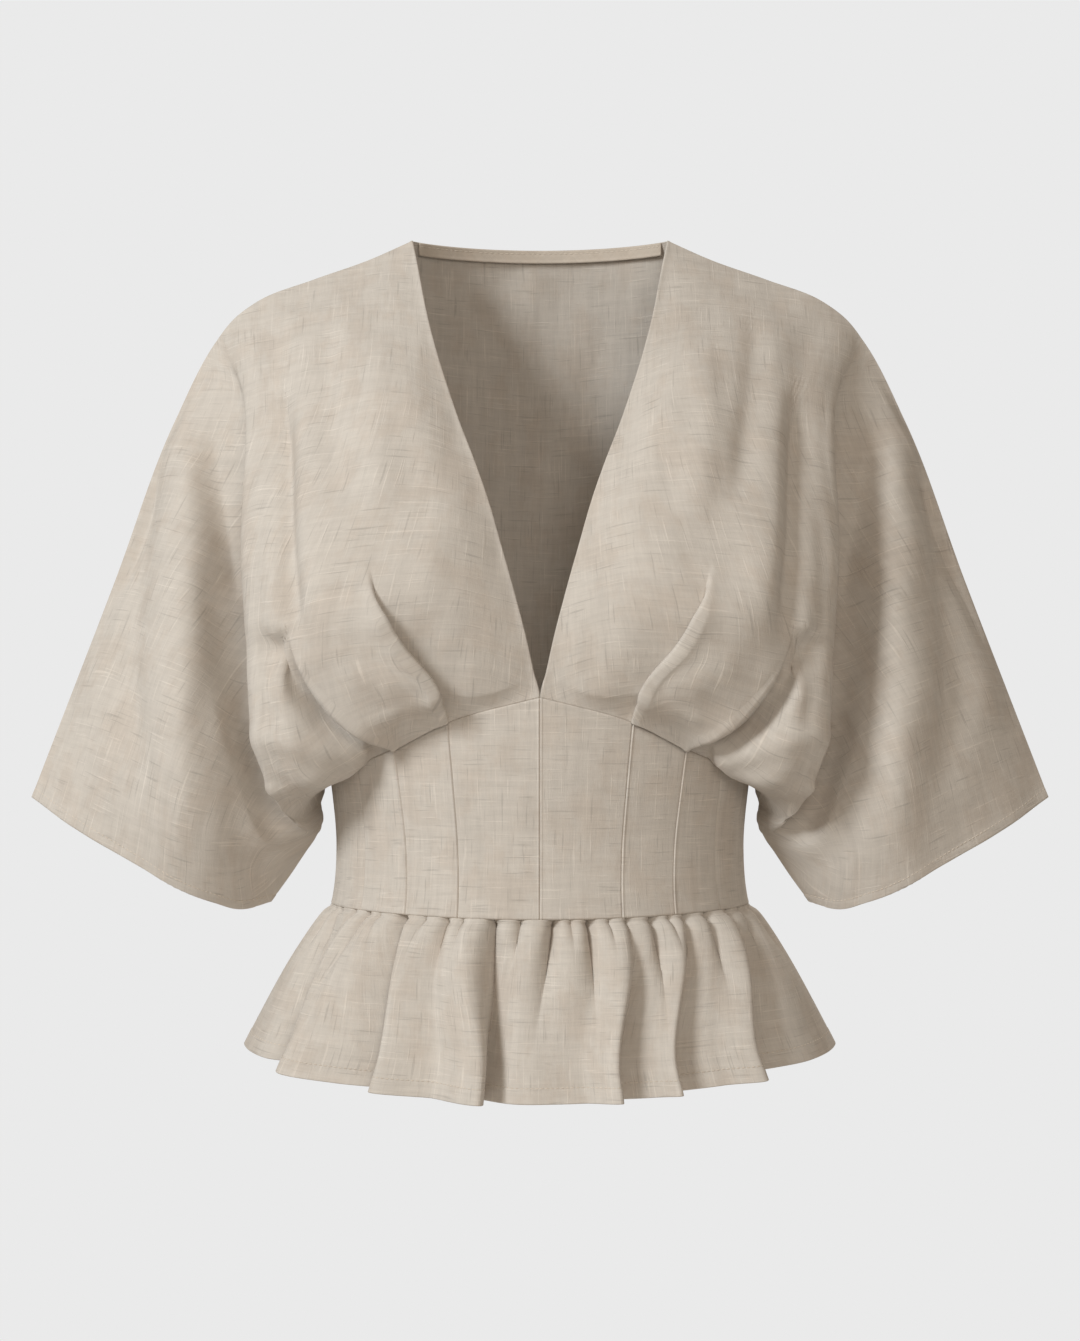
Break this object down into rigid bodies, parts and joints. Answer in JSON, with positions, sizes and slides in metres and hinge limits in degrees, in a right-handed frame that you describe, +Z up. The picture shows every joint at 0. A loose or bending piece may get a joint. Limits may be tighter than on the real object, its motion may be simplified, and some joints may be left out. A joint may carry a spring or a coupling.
{
  "type": "peplum top",
  "caption": "Woven linen top with a deep V neck, elbow-length kimono sleeves, a seamed fitted waist and a gathered peplum, in its worn hollow form.",
  "frame": {"origin": "midway between the two neck points of the shoulder seams, where the top hangs from its wearer's shoulders", "axes": "+Z up, -Y towards the garment's front, +X towards the wearer's left"},
  "size_m": [0.6712, 0.2935, 0.5542],
  "materials": {
    "linen": "matt slubbed plain-weave linen in warm sand",
    "linen_band": "the same linen cut on the bias"
  },
  "bodies": {
    "root": {"bodice_front_left": "linen", "bodice_front_right": "linen", "bodice_back": "linen", "neck_band": "linen_band", "waist_centre_left": "linen", "waist_centre_right": "linen", "waist_front_left": "linen", "waist_front_right": "linen", "waist_side_left": "linen", "waist_side_right": "linen", "waist_back": "linen", "peplum_front": "linen", "peplum_back": "linen"}
  },
  "joints": []
}
